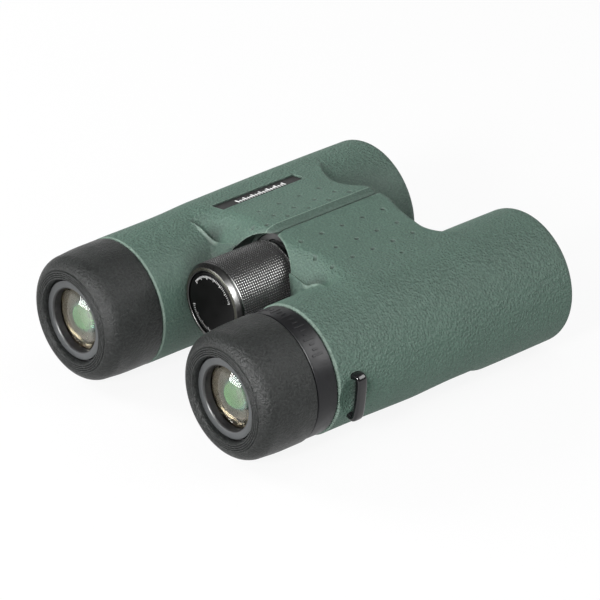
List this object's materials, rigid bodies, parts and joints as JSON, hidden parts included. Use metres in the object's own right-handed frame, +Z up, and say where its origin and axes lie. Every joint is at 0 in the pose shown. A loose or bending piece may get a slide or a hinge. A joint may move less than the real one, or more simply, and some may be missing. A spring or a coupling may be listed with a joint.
{
  "type": "binoculars",
  "caption": "Compact roof-prism binoculars with rubber armour, a folding centre hinge, a knurled focus knob, a dioptre ring and twist-up eyecups.",
  "frame": {"origin": "centre of the bounding box's base, under the hinge, with the hinge fully open", "axes": "+Y from the eyecups to the objectives, +X towards the right eye's barrel, +Z up, out of the top of the bridge"},
  "size_m": [0.1332, 0.137, 0.0529],
  "materials": {
    "green_rubber": "matt, leather-grained armour",
    "black_rubber": "matt, finely grained",
    "black_gloss": "glossy",
    "dark_plastic": "satin",
    "black_anodised": "black anodised, knurled",
    "satin_metal": "dark satin anodised",
    "cast_alloy": "cast and painted",
    "ground_steel": "ground",
    "turned_brass": "turned",
    "coated_glass": "polished and coated"
  },
  "bodies": {
    "left_half": {"left_armour": "green_rubber", "left_chassis": "cast_alloy", "left_strap_lug": "black_gloss", "left_ocular_tube": "dark_plastic", "left_ocular_ring": "satin_metal", "left_eye_lens": "coated_glass", "left_field_cell": "cast_alloy", "left_field_lens": "coated_glass", "left_prism_cage": "cast_alloy", "left_half_prism": "coated_glass", "left_roof_prism": "coated_glass", "left_objective_cell": "dark_plastic", "left_objective_lens": "coated_glass", "left_objective_inner_lens": "coated_glass", "left_objective_ring": "dark_plastic", "name_plate": "black_gloss", "hinge_tube": "ground_steel", "hinge_washer": "dark_plastic", "hinge_front_cap": "dark_plastic"},
    "right_half": {"right_armour": "green_rubber", "right_chassis": "cast_alloy", "right_strap_lug": "black_gloss", "right_ocular_tube": "dark_plastic", "right_ocular_ring": "satin_metal", "right_eye_lens": "coated_glass", "right_prism_cage": "cast_alloy", "right_half_prism": "coated_glass", "right_roof_prism": "coated_glass", "right_objective_cell": "dark_plastic", "right_objective_lens": "coated_glass", "right_objective_inner_lens": "coated_glass", "right_objective_ring": "dark_plastic"},
    "focus_knob": {"focus_knob": "black_anodised", "knob_bezel": "satin_metal", "knob_cap": "black_gloss", "focus_shaft": "ground_steel"},
    "focus_carriage": {"focus_nut": "turned_brass"},
    "left_focus_group": {"left_focus_cell": "cast_alloy", "left_focus_lens": "coated_glass"},
    "right_focus_group": {"right_focus_cell": "cast_alloy", "right_focus_lens": "coated_glass"},
    "left_twist_sleeve": {"left_click_sleeve": "dark_plastic"},
    "right_twist_sleeve": {"right_click_sleeve": "dark_plastic"},
    "left_eyecup": {"left_eyecup_core": "dark_plastic", "left_eyecup": "black_rubber"},
    "right_eyecup": {"right_eyecup_core": "dark_plastic", "right_eyecup": "black_rubber"},
    "diopter_ring": {"diopter_ring": "black_gloss"},
    "diopter_cell": {"right_field_cell": "cast_alloy", "right_field_lens": "coated_glass"}
  },
  "joints": [
    {"name": "bridge_hinge", "type": "hinge", "parent": "left_half", "child": "right_half", "pos_m": [0, 0, 0.0343], "axis": [0, 1, 0], "range_deg": [0, 66]},
    {"name": "knob_turn", "type": "hinge", "parent": "left_half", "child": "focus_knob", "pos_m": [0, 0, 0.0343], "axis": [0, 1, 0], "range_deg": [-270, 270]},
    {"name": "nut_slide", "type": "slide", "parent": "left_half", "child": "focus_carriage", "axis": [0, 1, 0], "range_m": [-0.0025, 0.0025]},
    {"name": "left_focus_slide", "type": "slide", "parent": "left_half", "child": "left_focus_group", "axis": [0, 1, 0], "range_m": [-0.0025, 0.0025]},
    {"name": "right_focus_slide", "type": "slide", "parent": "right_half", "child": "right_focus_group", "axis": [0, 1, 0], "range_m": [-0.0025, 0.0025]},
    {"name": "left_eyecup_twist", "type": "hinge", "parent": "left_half", "child": "left_twist_sleeve", "pos_m": [-0.04, 0, 0.0241], "axis": [0, -1, 0], "range_deg": [0, 200]},
    {"name": "left_eyecup_slide", "type": "slide", "parent": "left_twist_sleeve", "child": "left_eyecup", "axis": [0, -1, 0], "range_m": [0, 0.008]},
    {"name": "right_eyecup_twist", "type": "hinge", "parent": "right_half", "child": "right_twist_sleeve", "pos_m": [0.04, 0, 0.0241], "axis": [0, -1, 0], "range_deg": [0, 200]},
    {"name": "right_eyecup_slide", "type": "slide", "parent": "right_twist_sleeve", "child": "right_eyecup", "axis": [0, -1, 0], "range_m": [0, 0.008]},
    {"name": "diopter_turn", "type": "hinge", "parent": "right_half", "child": "diopter_ring", "pos_m": [0.04, 0, 0.0241], "axis": [0, -1, 0], "range_deg": [-45, 45]},
    {"name": "diopter_slide", "type": "slide", "parent": "right_half", "child": "diopter_cell", "axis": [0, 1, 0], "range_m": [-0.0006, 0.0006]}
  ],
  "couplings": [
    {"joint": "nut_slide", "follows": "knob_turn", "m_per_rad": 0.00053052},
    {"joint": "left_focus_slide", "follows": "knob_turn", "m_per_rad": 0.00053052},
    {"joint": "right_focus_slide", "follows": "knob_turn", "m_per_rad": 0.00053052},
    {"joint": "left_eyecup_slide", "follows": "left_eyecup_twist", "m_per_rad": 0.0022918},
    {"joint": "right_eyecup_slide", "follows": "right_eyecup_twist", "m_per_rad": 0.0022918},
    {"joint": "diopter_slide", "follows": "diopter_turn", "m_per_rad": 0.00076394}
  ]
}
